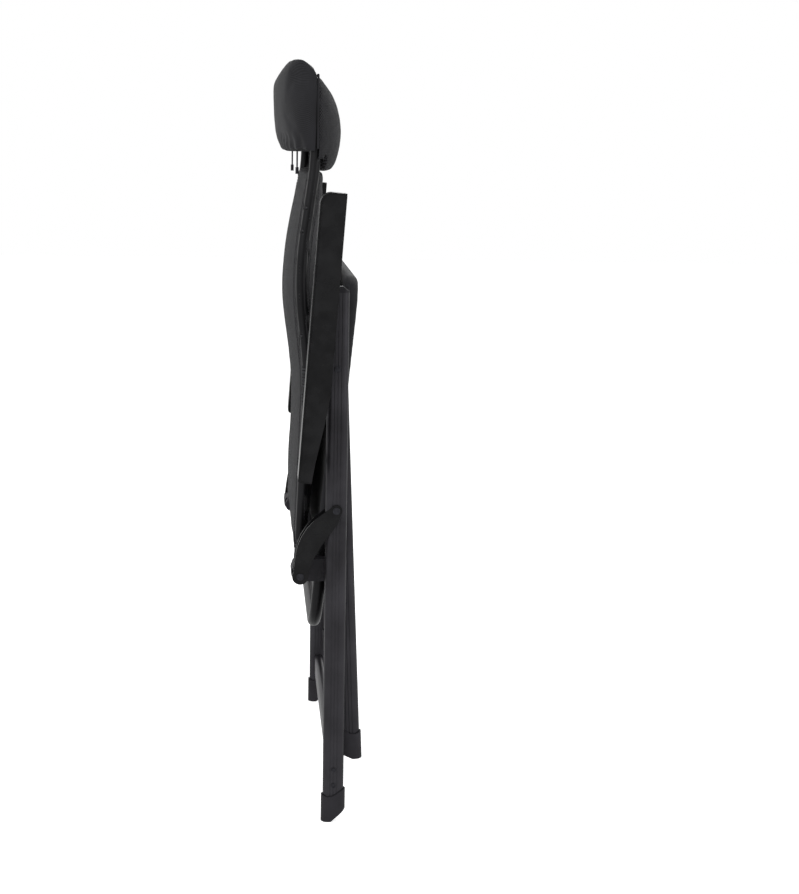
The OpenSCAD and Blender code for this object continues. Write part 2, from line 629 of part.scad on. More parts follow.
shifted() {
  rear_leg(1);  // rear_leg_left
  rear_leg(-1);  // rear_leg_right
  rear_foot(1);  // rear_foot_left
  rear_foot(-1);  // rear_foot_right
  rear_plug(1);  // rear_plug_left
  rear_plug(-1);  // rear_plug_right
  rear_stretcher();
  rear_rivets();
  armrest_studs();
  main_pivot_pins();
  main_pivot_washers();
  front_leg(1);  // front_leg_left
  front_leg(-1);  // front_leg_right
  front_foot(1);  // front_foot_left
  front_foot(-1);  // front_foot_right
  front_plugs();
  front_stretcher();
  front_rivets();
  link_outer(1);  // link_outer_left
  link_inner(1);  // link_inner_left
  link_pins(1);  // link_pins_left
  link_spacer(1);  // link_spacer_left
  link_outer(-1);  // link_outer_right
  link_inner(-1);  // link_inner_right
  link_pins(-1);  // link_pins_right
  link_spacer(-1);  // link_spacer_right
  seat_frame();
  seat_bracket(1);  // seat_bracket_left
  seat_bracket(-1);  // seat_bracket_right
  seat_bracket_screws();
  back_hinge_pins();
  seat_pivot_pins();
  seat_pad();
  seat_sleeve();
  back_frame();
  back_ends();
  back_pad();
  head_pillow();
  pillow_hood();
  hood_toggle();
  armrest_bolts();
  armrest(1);  // armrest_left
  ratchet(1);  // ratchet_left
  armrest(-1);  // armrest_right
  ratchet(-1);  // ratchet_right
}
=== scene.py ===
"""Dresses the folding reclining chair: padded mesh back and seat, head pillow and hood,
coated tubes, moulded plastic, and a plain stage."""
import json
import math

import bmesh
import bpy
import numpy as np
from mathutils import Matrix, Vector


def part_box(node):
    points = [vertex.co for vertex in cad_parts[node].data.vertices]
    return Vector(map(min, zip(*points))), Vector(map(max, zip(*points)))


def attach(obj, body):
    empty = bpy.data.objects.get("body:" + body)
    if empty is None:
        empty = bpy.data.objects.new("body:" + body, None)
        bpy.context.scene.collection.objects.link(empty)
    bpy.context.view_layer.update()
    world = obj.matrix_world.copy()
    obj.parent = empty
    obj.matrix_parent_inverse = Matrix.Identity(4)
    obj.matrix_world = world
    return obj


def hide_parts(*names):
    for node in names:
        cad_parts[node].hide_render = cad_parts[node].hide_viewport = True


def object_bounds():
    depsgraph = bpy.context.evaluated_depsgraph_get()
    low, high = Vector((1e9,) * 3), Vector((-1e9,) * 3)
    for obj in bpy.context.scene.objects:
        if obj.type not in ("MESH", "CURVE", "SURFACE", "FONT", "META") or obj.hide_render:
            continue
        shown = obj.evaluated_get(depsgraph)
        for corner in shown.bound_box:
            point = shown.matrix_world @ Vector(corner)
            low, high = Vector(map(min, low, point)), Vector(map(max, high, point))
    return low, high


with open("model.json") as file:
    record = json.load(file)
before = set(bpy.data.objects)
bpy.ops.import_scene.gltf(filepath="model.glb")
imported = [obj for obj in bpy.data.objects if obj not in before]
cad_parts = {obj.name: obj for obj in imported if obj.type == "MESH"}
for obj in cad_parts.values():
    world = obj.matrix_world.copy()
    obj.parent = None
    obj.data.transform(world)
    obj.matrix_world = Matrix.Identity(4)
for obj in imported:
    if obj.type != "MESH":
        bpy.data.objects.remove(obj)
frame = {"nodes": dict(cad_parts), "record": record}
CAD_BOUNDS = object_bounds()

bl_info = {
    "name": "Folding Reclining Chair Dresser",
    "version": (1, 0, 0),
    "blender": (4, 5, 0),
    "location": "View3D > Sidebar > Chair",
    "description": "Padded fabric, finishes and a plain stage for a folding reclining chair",
    "category": "Object",
}

MM = 0.001
BACK_NODE, SEAT_NODE = "back_pad", "seat_pad"
PILLOW_NODE, HOOD_NODE = "head_pillow", "pillow_hood"
# The seat sleeve: its width, its wall, the bend of the tube inside it, and its gathers, in mm
SLEEVE_D, SLEEVE_WALL, SEAT_BEND, GATHER = 22.2, 1.2, 46, 0.14
# The back panel's seams and hems: how far in from its edges they lie and how deep they press, in mm
BACK_SEAM_IN, BACK_SEAM_DEEP, BACK_HEM_IN, BACK_HEM_DEEP = 21.5, 2.6, 22, 1.6
# The seat panel's side seams, likewise
SEAT_SEAM_IN, SEAT_SEAM_DEEP = 12, 1.2
# Stitches: the length and radius of a thread, the gap after it, and the share of its step that it fills
STITCH_LONG, STITCH_R, STITCH_GAP, STITCH_SHARE = 3.0, 0.45, 1.6, 0.65
# The piping's radius, and how far piping and stitches stand from the cloth's face, in mm
PIPING_R, STAND_OFF = 1.6, 0.2
# The cloth run: frames, steps in each, mass, and how stiffly the cover stretches and bends
CLOTH_FRAMES, CLOTH_STEPS, CLOTH_MASS, CLOTH_STRETCH, CLOTH_BEND = 20, 5, 0.3, 12, 0.4
# Where a ramp's dark and pale ends stand, because noise seldom reaches 0 or 1
RAMP_ENDS = (0.25, 0.8)
# The camera: its place in metres, its yaw, pitch and roll in degrees, and its lens as a distance in
# the photo's px, with the photo's height in px and the sensor's in mm
EYE, YAW_PITCH_ROLL = (-0.1092, -2.651, 1.025), (5.35, -10.48, 1.07)
LENS_PX, PHOTO_HIGH_PX, SENSOR_HIGH_MM = 1637, 894, 36.0
# Each lamp: its name, its place and width in metres, and its power in watts
LAMPS = (("key lamp", (-2.2, -2.6, 2.8), 1.8, 75),
         ("side lamp", (2.6, -2.2, 1.9), 1.6, 42),
         ("back lamp", (0.4, 2.8, 2.6), 1.6, 40))
# The place on the chair that the lamps aim at, and half the floor's width, in metres
LAMP_AIM, FLOOR_HALF = (0, 0, 0.6), 12
# How far the floor lies under the feet, so that the two faces don't flicker, in mm
FLOOR_DROP = 0.2


# Colour and node helpers

def linear(hex_colour):
    """sRGB hex, such as 3b3a3e, to the linear colour that the shaders take."""
    values = [int(hex_colour[i:i + 2], 16) / 255 for i in (0, 2, 4)]
    return tuple(v / 12.92 if v <= 0.04045 else ((v + 0.055) / 1.055) ** 2.4 for v in values) + (1.0,)


def add(tree, kind, settings=None, inputs=None, **links):
    """Adds a node, with its settings, its socket values, and links named by input socket."""
    node = tree.nodes.new(kind)
    for key, value in (settings or {}).items():
        setattr(node, key, value)
    for key, value in (inputs or {}).items():
        node.inputs[key].default_value = value
    for key, source in links.items():
        key = key.strip("_").replace("_", " ")
        tree.links.new(source, node.inputs[int(key) if key.isdigit() else key])
    return node


def math_node(tree, operation, first, second=None, third=None):
    """One Math step on a socket and up to two more sockets or numbers."""
    node = add(tree, "ShaderNodeMath", {"operation": operation})
    for i, value in enumerate((first, second, third)):
        if value is None:
            continue
        if isinstance(value, (int, float)):
            node.inputs[i].default_value = value
        else:
            tree.links.new(value, node.inputs[i])
    return node.outputs[0]


def start_material(name):
    """A new material with only its output and one surface shader."""
    material = bpy.data.materials.new(name)
    material.use_nodes = True
    tree = material.node_tree
    tree.nodes.clear()
    out = add(tree, "ShaderNodeOutputMaterial")
    shader = add(tree, "ShaderNodeBsdfPrincipled")
    tree.links.new(shader.outputs[0], out.inputs[0])
    return material, tree, shader


def place(tree):
    """Position on the piece, in metres, as one socket."""
    return add(tree, "ShaderNodeTexCoord").outputs["Object"]


def axes_of(tree, point):
    """A position's X, Y and Z, as three sockets."""
    return add(tree, "ShaderNodeSeparateXYZ", _0=point).outputs


def mottle(tree, point, size_mm, detail=3.0):
    """A cloudy factor, with clouds of about the size given."""
    inputs = {"Scale": 1 / (size_mm * MM), "Detail": detail}
    return add(tree, "ShaderNodeTexNoise", None, inputs, _0=point).outputs[0]


def between(tree, factor, low, high):
    """A colour from low to high by a factor socket."""
    ramp = add(tree, "ShaderNodeValToRGB", None, None, _0=factor)
    for stop, position, colour in zip(ramp.color_ramp.elements, RAMP_ENDS, (low, high)):
        stop.position, stop.color = position, linear(colour)
    return ramp.outputs[0]


def bump(tree, shader, height, depth_mm, strength):
    """Relief in the surface, from a height socket and a depth in mm."""
    inputs = {"Strength": strength, "Distance": depth_mm * MM}
    node = add(tree, "ShaderNodeBump", None, inputs, _Height=height)
    tree.links.new(node.outputs[0], shader.inputs["Normal"])


# Finishes

def coated_tube(name, low, high, roughness):
    """Anodised or painted metal tube: dark and satin, with fine lines along it."""
    material, tree, shader = start_material(name)
    shader.inputs["Metallic"].default_value = 0.75
    point = place(tree)
    stretched = add(tree, "ShaderNodeMapping", None, {"Scale": (1.0, 1.0, 0.04)}, _0=point).outputs[0]
    lines = mottle(tree, stretched, 1.4)
    tree.links.new(between(tree, mottle(tree, point, 60), low, high), shader.inputs["Base Color"])
    tree.links.new(math_node(tree, "MULTIPLY_ADD", lines, 0.18, roughness - 0.09), shader.inputs["Roughness"])
    bump(tree, shader, lines, 0.05, 0.4)
    return material


def moulded_plastic(name, low, high, roughness, grain_mm, depth_mm):
    """Moulded nylon or polypropylene: a grained surface with a soft shine, worn a little paler."""
    material, tree, shader = start_material(name)
    shader.inputs["IOR"].default_value = 1.49
    shader.inputs["Specular IOR Level"].default_value = 0.13
    point = place(tree)
    grain = mottle(tree, point, grain_mm, 2.0)
    wear = mottle(tree, point, 25)
    tree.links.new(between(tree, wear, low, high), shader.inputs["Base Color"])
    tree.links.new(math_node(tree, "MULTIPLY_ADD", wear, 0.14, roughness - 0.07), shader.inputs["Roughness"])
    bump(tree, shader, grain, depth_mm, 0.5)
    return material


def plated_steel(name, low, high, roughness):
    """Dark plated steel pins: a plain dark grey metal, slightly cloudy."""
    material, tree, shader = start_material(name)
    shader.inputs["Metallic"].default_value = 1.0
    cloud = mottle(tree, place(tree), 5)
    tree.links.new(between(tree, cloud, low, high), shader.inputs["Base Color"])
    shader.inputs["Roughness"].default_value = roughness
    bump(tree, shader, cloud, 0.05, 0.3)
    return material


def diamond_mesh(name, opening_shade, yarn, pitch_mm, depth_mm):
    """Padded polyester mesh, knitted in diamonds: paler yarn round openings painted near black as the shade
    inside them.
    """
    material, tree, shader = start_material(name)
    shader.inputs["Sheen Weight"].default_value = 0.06
    shader.inputs["Sheen Roughness"].default_value = 0.5
    shader.inputs["Roughness"].default_value = 0.82
    shader.inputs["Specular IOR Level"].default_value = 0.12
    point = place(tree)
    axes = axes_of(tree, point)
    wander = math_node(tree, "MULTIPLY", mottle(tree, point, 30), 1.6 * MM)
    around = math_node(tree, "ADD", math_node(tree, "ADD", axes[0], axes[1]), wander)
    # A diamond is three quarters as wide as it is tall
    tall = pitch_mm * MM
    wide = 0.75 * tall
    upward = math_node(tree, "MULTIPLY", axes[2], wide / tall)
    rows = []
    for way in ("ADD", "SUBTRACT"):
        slant = math_node(tree, way, around, upward)
        wave = math_node(tree, "SINE", math_node(tree, "MULTIPLY", slant, math.pi / wide))
        rows.append(math_node(tree, "ABSOLUTE", wave))
    net = math_node(tree, "POWER", math_node(tree, "MAXIMUM", *rows), 7.0)
    fuzz = math_node(tree, "MULTIPLY_ADD", mottle(tree, point, 9), 0.5, 0.65)
    tone = math_node(tree, "MULTIPLY", net, fuzz)
    # The openings between the yarn take the near-black colour, painted shade inside the mesh; the yarn takes
    # the paler one
    tree.links.new(between(tree, tone, opening_shade, yarn), shader.inputs["Base Color"])
    bump(tree, shader, net, depth_mm, 0.9)
    return material


def plain_weave(name, low, high, thread_mm, depth_mm):
    """Woven polyester, as on a bag: a fine over-and-under weave. Drawn at twice its real spacing to show."""
    material, tree, shader = start_material(name)
    shader.inputs["Sheen Weight"].default_value = 0.05
    shader.inputs["Roughness"].default_value = 0.74
    shader.inputs["Specular IOR Level"].default_value = 0.14
    point = place(tree)
    axes = axes_of(tree, point)
    turn = math.pi / (thread_mm * MM)
    around = math_node(tree, "ADD", axes[0], axes[1])
    across = math_node(tree, "SINE", math_node(tree, "MULTIPLY", around, turn))
    up = math_node(tree, "SINE", math_node(tree, "MULTIPLY", axes[2], turn))
    weave = math_node(tree, "MULTIPLY_ADD", math_node(tree, "MULTIPLY", across, up), 0.5, 0.5)
    cloud = math_node(tree, "MULTIPLY", mottle(tree, point, 40), 0.4)
    tone = math_node(tree, "MULTIPLY_ADD", weave, 0.6, cloud)
    tree.links.new(between(tree, tone, low, high), shader.inputs["Base Color"])
    bump(tree, shader, weave, depth_mm, 0.7)
    return material


def finishes():
    """The finishes by the record's material slots, each made when it is first asked for."""
    chosen = settings()
    yarn, pitch = chosen.fabric_light, chosen.mesh_pitch
    recipes = {
        "leg_metal": (coated_tube, "anodised leg tube", chosen.leg_dark, chosen.leg_light, 0.42),
        "tube_metal": (coated_tube, "painted round tube", "101011", "1c1c1e", 0.4),
        "pin_metal": (plated_steel, "plated steel", "202023", "3c3c40", 0.42),
        "black_plastic": (moulded_plastic, "nylon moulding", "201f22", "2d2c30", 0.56, 0.9, 0.06),
        "gloss_black": (moulded_plastic, "glossy armrest", "0c0c0d", "1a1a1b", 0.27, 1.2, 0.04),
        # The near-black first colours of the two meshes, 020202 and 030303, are painted shade in their
        # openings
        "mesh_fabric": (diamond_mesh, "diamond mesh", "020202", yarn, pitch, 0.7),
        "woven_fabric": (plain_weave, "plain weave", "111112", "26262a", 1.4, 0.2),
        "pillow_fabric": (diamond_mesh, "pillow mesh", "030303", yarn, pitch * 0.9, 0.6),
    }
    return {slot: bpy.data.materials.get(name) or make(name, *values)
            for slot, (make, name, *values) in recipes.items()}


def dress(obj, material):
    """Gives the whole object one finish."""
    obj.data.materials.clear()
    obj.data.materials.append(material)


# Soft forms

def copy_of(node, name):
    """A new piece with a copy of a CAD node's mesh."""
    piece = bpy.data.objects.new(name, frame["nodes"][node].data.copy())
    bpy.context.scene.collection.objects.link(piece)
    return piece


def apply_modifiers(piece):
    """Keeps what the modifiers show as the piece's own mesh."""
    bpy.context.view_layer.update()
    done = bpy.data.meshes.new_from_object(piece.evaluated_get(bpy.context.evaluated_depsgraph_get()))
    piece.modifiers.clear()
    piece.data = done


def remesh(piece, voxel_mm):
    """Gives the piece even, small faces in place of the CAD's long ones."""
    step = piece.modifiers.new("remesh", "REMESH")
    step.mode, step.voxel_size, step.use_smooth_shade = "VOXEL", voxel_mm * MM, True
    apply_modifiers(piece)


def points_of(piece):
    """The piece's points, one row each, in metres."""
    co = np.empty(len(piece.data.vertices) * 3)
    piece.data.vertices.foreach_get("co", co)
    return co.reshape(-1, 3)


def set_points(piece, co):
    """Moves the piece's points to the rows given."""
    piece.data.vertices.foreach_set("co", np.ascontiguousarray(co).ravel())
    piece.data.update()


def inflate(piece, pressure, cap_mm, held):
    """Puffs the piece like a stuffed cover, and keeps each point within a cap of where it started."""
    before = points_of(piece)
    group = piece.vertex_groups.new(name="held")
    group.add([int(i) for i in np.nonzero(held)[0]], 1.0, "REPLACE")
    cloth = piece.modifiers.new("cloth", "CLOTH")
    run = cloth.settings
    run.quality, run.mass = CLOTH_STEPS, CLOTH_MASS
    run.use_pressure, run.uniform_pressure_force = True, pressure
    run.tension_stiffness = run.compression_stiffness = CLOTH_STRETCH
    run.bending_stiffness = CLOTH_BEND
    run.effector_weights.gravity = 0
    run.vertex_group_mass = "held"
    for frame_number in range(1, CLOTH_FRAMES + 1):
        bpy.context.scene.frame_set(frame_number)
    apply_modifiers(piece)
    move = points_of(piece) - before
    size = np.linalg.norm(move, axis=1, keepdims=True)
    move *= np.minimum(1, cap_mm * MM / np.maximum(size, 1e-9))
    set_points(piece, before + move)
    piece.vertex_groups.clear()
    bpy.context.scene.frame_set(1)


def normals_of(piece):
    """The outward direction at each of the piece's points."""
    ways = np.empty(len(piece.data.vertices) * 3)
    piece.data.vertex_normals.foreach_get("vector", ways)
    return ways.reshape(-1, 3)


def ripple(co, seed, length_mm):
    """Smooth folds: the mean of a few waves in directions drawn from a fixed seed, from -1 to 1."""
    random = np.random.default_rng(seed)
    total = np.zeros(len(co))
    waves, one_turn = 6, 6.28
    for _ in range(waves):
        way = random.normal(size=3)
        way /= np.linalg.norm(way)
        length = length_mm * MM * (0.7 + 0.6 * random.random())
        start = random.random() * one_turn
        total += np.sin(co @ way * (2 * math.pi / length) + start)
    return total / waves


def tube_along(name, points, radius_mm, material, body):
    """Piping along points, as a mesh tube."""
    curve = bpy.data.curves.new(name, "CURVE")
    curve.dimensions, curve.bevel_depth, curve.bevel_resolution = "3D", radius_mm * MM, 2
    line = curve.splines.new("POLY")
    line.points.add(len(points) - 1)
    for p, q in zip(line.points, points):
        p.co = (*q, 1)
    curve.use_fill_caps = True
    rough = bpy.data.objects.new(name + "_line", curve)
    bpy.context.scene.collection.objects.link(rough)
    bpy.context.view_layer.update()
    mesh = bpy.data.meshes.new_from_object(rough.evaluated_get(bpy.context.evaluated_depsgraph_get()))
    bpy.data.objects.remove(rough)
    piece = bpy.data.objects.new(name, mesh)
    bpy.context.scene.collection.objects.link(piece)
    for face in mesh.polygons:
        face.use_smooth = True
    dress(piece, material)
    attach(piece, body)
    return piece


def stitches(name, points, material, body):
    """A row of short threads along points, as one mesh."""
    built = bmesh.new()
    path = [Vector(p) for p in points]
    radius = STITCH_R * MM
    for a, b in zip(path, path[1:]):
        run = (b - a).length
        count = max(1, round(run / ((STITCH_LONG + STITCH_GAP) * MM)))
        for i in range(count):
            start, end = a.lerp(b, i / count), a.lerp(b, (i + STITCH_SHARE) / count)
            middle, way = (start + end) / 2, (end - start)
            turn = way.to_track_quat("Z", "Y").to_matrix().to_4x4()
            made = bmesh.ops.create_cone(built, cap_ends=True, segments=5, radius1=radius,
                                         radius2=radius, depth=way.length)
            bmesh.ops.transform(built, matrix=Matrix.Translation(middle) @ turn, verts=made["verts"])
    mesh = bpy.data.meshes.new(name)
    built.to_mesh(mesh)
    built.free()
    piece = bpy.data.objects.new(name, mesh)
    bpy.context.scene.collection.objects.link(piece)
    dress(piece, material)
    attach(piece, body)
    return piece


def outermost(co, way, z, y):
    """The place along X of the front (way 1) or rear (way -1) face, near a height and a place across."""
    reach = 6 * MM
    near = (np.abs(co[:, 2] - z) < reach) & (np.abs(co[:, 1] - y) < reach)
    if not near.any():
        near = np.abs(co[:, 2] - z) + np.abs(co[:, 1] - y) < reach * 6
    if not near.any():
        return None
    xs = co[near][:, 0]
    return float(xs.max() if way > 0 else xs.min())


# Settings

class ChairSettings(bpy.types.PropertyGroup):
    mesh_pitch: bpy.props.FloatProperty(name="Mesh Pitch", description="Height of one diamond, in mm",
                                        default=5.2, min=1.5, max=9.0)
    pad_puff: bpy.props.FloatProperty(name="Pad Puff", description="Cloth pressure in the pads",
                                      default=3.0, min=0.0)
    leg_dark: bpy.props.StringProperty(name="Leg Dark", description="Darker tone of the leg tubes, as hex",
                                       default="222124")
    leg_light: bpy.props.StringProperty(name="Leg Light", description="Paler tone of the leg tubes, as hex",
                                        default="37363a")
    fabric_light: bpy.props.StringProperty(name="Fabric Light", description="Paler yarn of the mesh, as hex",
                                           default="3c3c3f")
    backdrop: bpy.props.StringProperty(name="Backdrop", description="Colour of floor and backdrop, as hex",
                                       default="f4f4f4")


def settings():
    """The sizes and colours that the sidebar shows."""
    return bpy.context.scene.chair_settings


def soft_piece(node, name, body, slot, *, voxel_mm, pressure, cap_mm, fold_mm, seed, held, groove):
    """A cover over a CAD pad: remeshed, puffed, folded and pressed in at its seams, then smoothed.

    Called with points, held says which of them the puffing leaves still, and groove how far in each
    of them is pressed, in mm."""
    piece = copy_of(node, name)
    remesh(piece, voxel_mm)
    inflate(piece, pressure, cap_mm, held(points_of(piece)))
    co, n = points_of(piece), normals_of(piece)
    push = ripple(co, seed, 140) * fold_mm * MM + ripple(co, seed + 1, 55) * fold_mm * 0.35 * MM
    push -= groove(co) * MM
    set_points(piece, co + n * push[:, None])
    step = piece.modifiers.new("smooth", "SMOOTH")
    step.factor, step.iterations = 0.5, 2
    sub = piece.modifiers.new("fine", "SUBSURF")
    sub.levels = sub.render_levels = 1
    apply_modifiers(piece)
    for face in piece.data.polygons:
        face.use_smooth = True
    dress(piece, finishes()[slot])
    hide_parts(node)
    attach(piece, body)
    return piece


class CHAIR_OT_back_panel(bpy.types.Operator):
    """Makes the padded mesh back panel with its sewn side sleeves and hems"""
    bl_idname = "chair.back_panel"
    bl_label = "Back Panel"

    def execute(self, context):
        low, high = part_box(BACK_NODE)
        seam = high.y - BACK_SEAM_IN * MM
        hems = (low.z + BACK_HEM_IN * MM, high.z - BACK_HEM_IN * MM)

        def groove(co):
            along_seams = np.exp(-((np.abs(co[:, 1]) - seam) / (4.5 * MM)) ** 2)
            along_hems = sum(np.exp(-((co[:, 2] - hem) / (4 * MM)) ** 2) for hem in hems)
            return along_seams * BACK_SEAM_DEEP + along_hems * BACK_HEM_DEEP

        def held(co):
            beside, end = np.abs(co[:, 1]) > seam - 4 * MM, 20 * MM
            return beside | (co[:, 2] < low.z + end) | (co[:, 2] > high.z - end)

        piece = soft_piece(BACK_NODE, "back_panel", "back", "mesh_fabric", voxel_mm=5,
                           pressure=settings().pad_puff, cap_mm=4, fold_mm=0.9, seed=3,
                           held=held, groove=groove)
        co = points_of(piece)
        weave = finishes()["woven_fabric"]
        for side, tag in ((-1, "right"), (1, "left")):
            for way, face in ((-1, "rear"), (1, "front")):
                line = []
                for z in np.linspace(low.z + 10 * MM, high.z - 10 * MM, 60):
                    x = outermost(co, way, z, side * seam)
                    if x is not None:
                        line.append((x + way * STAND_OFF * MM, side * seam, z))
                stitches(f"back_stitching_{face}_{tag}", line, weave, "back")
        return {"FINISHED"}


class CHAIR_OT_seat_panel(bpy.types.Operator):
    """Makes the padded mesh seat panel held between its sleeves"""
    bl_idname = "chair.seat_panel"
    bl_label = "Seat Panel"

    def execute(self, context):
        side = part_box(SEAT_NODE)[1].y
        seam = side - SEAT_SEAM_IN * MM

        def groove(co):
            return np.exp(-((np.abs(co[:, 1]) - seam) / (4 * MM)) ** 2) * SEAT_SEAM_DEEP

        def held(co):
            return np.abs(co[:, 1]) > side - 14 * MM

        soft_piece(SEAT_NODE, "seat_panel", "seat", "mesh_fabric", voxel_mm=5,
                   pressure=settings().pad_puff, cap_mm=2.5, fold_mm=0.6, seed=11,
                   held=held, groove=groove)
        return {"FINISHED"}


class CHAIR_OT_seat_sleeve(bpy.types.Operator):
    """Makes the fabric sleeve sewn round the seat tube, with small gathers along it"""
    bl_idname = "chair.seat_sleeve"
    bl_label = "Seat Sleeve"

    def execute(self, context):
        low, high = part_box("seat_sleeve")
        thick, half = SLEEVE_D * MM, high.y - SLEEVE_D * MM / 2
        lean = math.atan((high.x - low.x - thick) / (high.z - low.z - thick))
        up = Vector((math.sin(lean), 0, math.cos(lean)))
        foot = Vector((low.x + thick / 2 * math.cos(lean), 0, low.z + thick / 2 * math.sin(lean)))
        length = (high.z - thick / 2 - foot.z) / math.cos(lean)
        bend = SEAT_BEND * MM
        # The bend's points stop short of its ends, where the straight stretches have theirs
        short = 0.12
        side = [(half, float(z)) for z in np.linspace(0.4 * MM, length - bend, 70)]
        turn = [(half - bend * (1 - math.cos(a)), length - bend + bend * math.sin(a))
                for a in np.linspace(short, math.pi / 2 - short, 12)]
        front = [(float(y), length) for y in np.linspace(half - bend, -half + bend, 60)]
        path = side + turn + front + [(-y, z) for y, z in reversed(side + turn)]
        across = Vector((up.z, 0, -up.x))
        built = bmesh.new()
        rings = []
        count = 20
        for i, (y, z) in enumerate(path):
            before, after = path[max(i - 1, 0)], path[min(i + 1, len(path) - 1)]
            way = (Vector((0, 1, 0)) * (after[0] - before[0]) + up * (after[1] - before[1])).normalized()
            out = way.cross(across).normalized()
            middle = foot + Vector((0, y, 0)) + up * z
            for wall in (0, 1):
                ring = []
                for k in range(count):
                    a = 2 * math.pi * k / count
                    gather = GATHER * MM * (1 + math.sin(i * 1.7 + 2 * math.sin(a + i * 0.31)))
                    r = thick / 2 - (SLEEVE_WALL * MM if wall else gather)
                    spot = middle + across * (r * math.cos(a)) + out * (r * math.sin(a))
                    ring.append(built.verts.new(spot))
                rings.append(ring)
        # The rings come in pairs, outside and inside: the walls run along, and the two ends are closed
        outsides, insides = rings[::2], rings[1::2]
        for k in range(count):
            m = (k + 1) % count
            for a, b, c, d in zip(outsides, outsides[1:], insides, insides[1:]):
                built.faces.new((a[k], a[m], b[m], b[k]))
                built.faces.new((c[k], d[k], d[m], c[m]))
            for outside, inside in ((outsides[0], insides[0]), (outsides[-1], insides[-1])):
                built.faces.new((outside[k], inside[k], inside[m], outside[m]))
        bmesh.ops.recalc_face_normals(built, faces=built.faces)
        mesh = bpy.data.meshes.new("sleeve")
        built.to_mesh(mesh)
        built.free()
        for face in mesh.polygons:
            face.use_smooth = True
        piece = bpy.data.objects.new("sleeve", mesh)
        context.scene.collection.objects.link(piece)
        dress(piece, finishes()["woven_fabric"])
        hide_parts("seat_sleeve")
        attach(piece, "seat")
        return {"FINISHED"}


class CHAIR_OT_pillow(bpy.types.Operator):
    """Makes the stuffed head pillow, the hood behind it, and the seams and hem between them"""
    bl_idname = "chair.pillow"
    bl_label = "Head Pillow"

    def execute(self, context):
        low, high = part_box(PILLOW_NODE)
        seam = low.x

        # How far puckers reach in from the seams and from the hood's mouth
        front_reach, rear_reach, mouth_reach = 22 * MM, 24 * MM, 30 * MM

        def waves(place_across, length_mm):
            return np.sin(place_across * 2 * math.pi / (length_mm * MM))

        def front_puckers(co):
            rim = np.clip(1 - (co[:, 0] - seam) / front_reach, 0, 1)
            return rim * (0.8 + 0.8 * waves(co[:, 1], 31) * np.cos(co[:, 2] * 2 * math.pi / (50 * MM)))

        def front_held(co):
            return co[:, 0] < seam + 4 * MM

        soft_piece(PILLOW_NODE, "pillow", "back", "pillow_fabric", voxel_mm=4.5, pressure=4.0,
                   cap_mm=7, fold_mm=1.3, seed=21, held=front_held, groove=front_puckers)
        hood_low, hood_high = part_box(HOOD_NODE)

        def rear_puckers(co):
            rim = np.clip(1 - (hood_high.x - co[:, 0]) / rear_reach, 0, 1)
            mouth = np.clip(1 - (co[:, 2] - hood_low.z) / mouth_reach, 0, 1)
            return rim * 0.9 * (1 + waves(co[:, 1], 36)) + mouth * 1.8 * (1 + waves(co[:, 1], 24))

        def rear_held(co):
            return (co[:, 0] > hood_high.x - 4 * MM) | (co[:, 2] < hood_low.z + 6 * MM)

        soft_piece(HOOD_NODE, "hood", "back", "woven_fabric", voxel_mm=4.5, pressure=3.0,
                   cap_mm=5, fold_mm=1.6, seed=31, held=rear_held, groove=rear_puckers)

        # The piping goes up one side, across the top and down the other, narrowing a little at the ends
        x, wide = seam - STAND_OFF * MM, high.y - 1 * MM
        heights = [0, 0.06, 0.14, 0.68, 0.8, 0.9, 0.97, 1]
        widths = [0.985, 0.995, 1, 1, 0.99, 0.98, 0.97, 0.965]
        up = []
        for z in np.linspace(hood_low.z + 4 * MM, high.z, 26):
            share = (z - low.z) / (high.z - low.z)
            up.append((x, wide * float(np.interp(share, heights, widths)), float(z)))
        corner = up[-1][1]
        over = [(x, float(y), high.z + 0.3 * MM) for y in np.linspace(corner, -corner, 30)][1:-1]
        down = [(p[0], -p[1], p[2]) for p in reversed(up)]
        weave = finishes()["woven_fabric"]
        tube_along("pillow_piping", up + over + down, PIPING_R, weave, "back")
        return {"FINISHED"}


class CHAIR_OT_finish(bpy.types.Operator):
    """Gives every solid of the frame its finish"""
    bl_idname = "chair.finish"
    bl_label = "Frame Finishes"

    def execute(self, context):
        made = finishes()
        for part in frame["record"]["subparts"]:
            node = frame["nodes"].get(part["node"])
            if node is None:
                raise RuntimeError("the frame has no node " + part["node"])
            dress(node, made[part["material_slot"]])
        return {"FINISHED"}


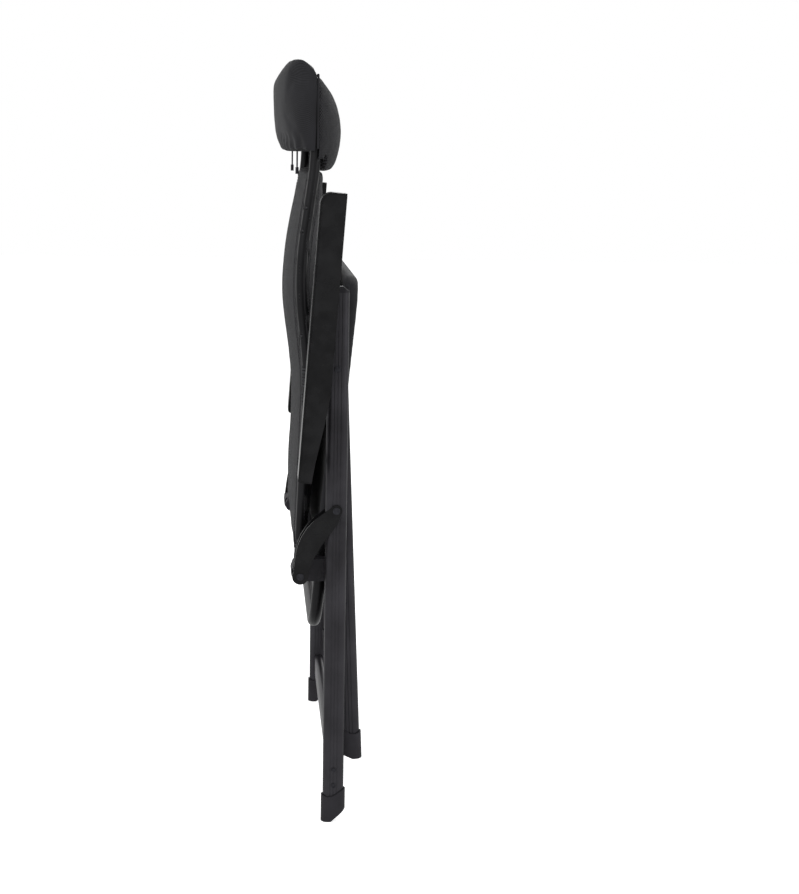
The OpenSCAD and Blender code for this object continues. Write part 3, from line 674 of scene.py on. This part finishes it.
class CHAIR_OT_stage(bpy.types.Operator):
    """Sets the floor, the lamps, the backdrop and the camera"""
    bl_idname = "chair.stage"
    bl_label = "Stage"

    def execute(self, context):
        scene = context.scene
        mesh = bpy.data.meshes.new("floor")
        corners = [(FLOOR_HALF * a, FLOOR_HALF * b, 0) for a, b in ((-1, -1), (1, -1), (1, 1), (-1, 1))]
        mesh.from_pydata(corners, [], [(0, 1, 2, 3)])
        floor = bpy.data.objects.new("floor", mesh)
        scene.collection.objects.link(floor)
        floor.location.z = CAD_BOUNDS[0][2] - FLOOR_DROP * MM
        material, tree, shader = start_material("pale floor")
        shader.inputs["Base Color"].default_value = linear(settings().backdrop)
        shader.inputs["Roughness"].default_value = 0.9
        seen = add(tree, "ShaderNodeLightPath")
        paper = add(tree, "ShaderNodeEmission", None, {"Color": (1, 1, 1, 1), "Strength": 0.6})
        both = add(tree, "ShaderNodeAddShader")
        tree.links.new(shader.outputs[0], both.inputs[0])
        tree.links.new(paper.outputs[0], both.inputs[1])
        mix = add(tree, "ShaderNodeMixShader")
        tree.links.new(seen.outputs["Is Camera Ray"], mix.inputs[0])
        tree.links.new(shader.outputs[0], mix.inputs[1])
        tree.links.new(both.outputs[0], mix.inputs[2])
        out = [n for n in tree.nodes if n.type == "OUTPUT_MATERIAL"][0]
        tree.links.new(mix.outputs[0], out.inputs[0])
        mesh.materials.append(material)

        world = scene.world or bpy.data.worlds.new("backdrop")
        scene.world = world
        world.use_nodes = True
        tree = world.node_tree
        tree.nodes.clear()
        light = add(tree, "ShaderNodeBackground", None, {"Color": (1, 1, 1, 1), "Strength": 0.55})
        white = add(tree, "ShaderNodeBackground", None, {"Color": (1, 1, 1, 1), "Strength": 1.0})
        seen = add(tree, "ShaderNodeLightPath")
        mix = add(tree, "ShaderNodeMixShader")
        either = add(tree, "ShaderNodeMath", {"operation": "MAXIMUM"})
        tree.links.new(seen.outputs["Is Camera Ray"], either.inputs[0])
        tree.links.new(seen.outputs["Is Glossy Ray"], either.inputs[1])
        tree.links.new(either.outputs[0], mix.inputs[0])
        tree.links.new(light.outputs[0], mix.inputs[1])
        tree.links.new(white.outputs[0], mix.inputs[2])
        world_out = add(tree, "ShaderNodeOutputWorld")
        tree.links.new(mix.outputs[0], world_out.inputs[0])

        for name, where, size, power in LAMPS:
            lamp = bpy.data.lights.new(name, "AREA")
            lamp.size, lamp.energy = size, power
            obj = bpy.data.objects.new(name, lamp)
            scene.collection.objects.link(obj)
            obj.location = where
            obj.rotation_euler = (Vector(LAMP_AIM) - Vector(where)).to_track_quat("-Z", "Y").to_euler()

        camera = bpy.data.cameras.new("camera")
        camera.sensor_fit, camera.sensor_height = "VERTICAL", SENSOR_HIGH_MM
        camera.lens = LENS_PX * SENSOR_HIGH_MM / PHOTO_HIGH_PX
        camera.clip_end = 60
        eye = bpy.data.objects.new("camera", camera)
        scene.collection.objects.link(eye)
        yaw, pitch, roll = (math.radians(a) for a in YAW_PITCH_ROLL)
        ahead = Vector((math.sin(yaw) * math.cos(pitch), math.cos(yaw) * math.cos(pitch), math.sin(pitch)))
        right = Vector((math.cos(yaw), -math.sin(yaw), 0))
        up = right.cross(ahead)
        right, up = right * math.cos(roll) + up * math.sin(roll), up * math.cos(roll) - right * math.sin(roll)
        rows = [(right[i], up[i], -ahead[i], EYE[i]) for i in range(3)]
        eye.matrix_world = Matrix((*rows, (0, 0, 0, 1)))
        scene.camera = eye
        scene.view_settings.view_transform = "Standard"
        return {"FINISHED"}


class CHAIR_PT_panel(bpy.types.Panel):
    """Lists the chair's pieces and sizes in the sidebar"""
    bl_idname = "CHAIR_PT_panel"
    bl_label = "Folding Chair"
    bl_space_type = "VIEW_3D"
    bl_region_type = "UI"
    bl_category = "Chair"

    def draw(self, context):
        column = self.layout.column()
        for name in ("mesh_pitch", "pad_puff", "leg_dark", "leg_light", "fabric_light", "backdrop"):
            column.prop(context.scene.chair_settings, name)
        for operator in OPERATORS:
            column.operator(operator.bl_idname)


OPERATORS = (CHAIR_OT_finish, CHAIR_OT_back_panel, CHAIR_OT_seat_panel, CHAIR_OT_seat_sleeve, CHAIR_OT_pillow,
             CHAIR_OT_stage)
CLASSES = (ChairSettings, *OPERATORS, CHAIR_PT_panel)


def register():
    for cls in CLASSES:
        bpy.utils.register_class(cls)
    bpy.types.Scene.chair_settings = bpy.props.PointerProperty(type=ChairSettings)


def unregister():
    del bpy.types.Scene.chair_settings
    for cls in reversed(CLASSES):
        bpy.utils.unregister_class(cls)


def main():
    register()
    for name in ("finish", "back_panel", "seat_panel", "seat_sleeve", "pillow", "stage"):
        getattr(bpy.ops.chair, name)()


if __name__ == "__main__":
    main()
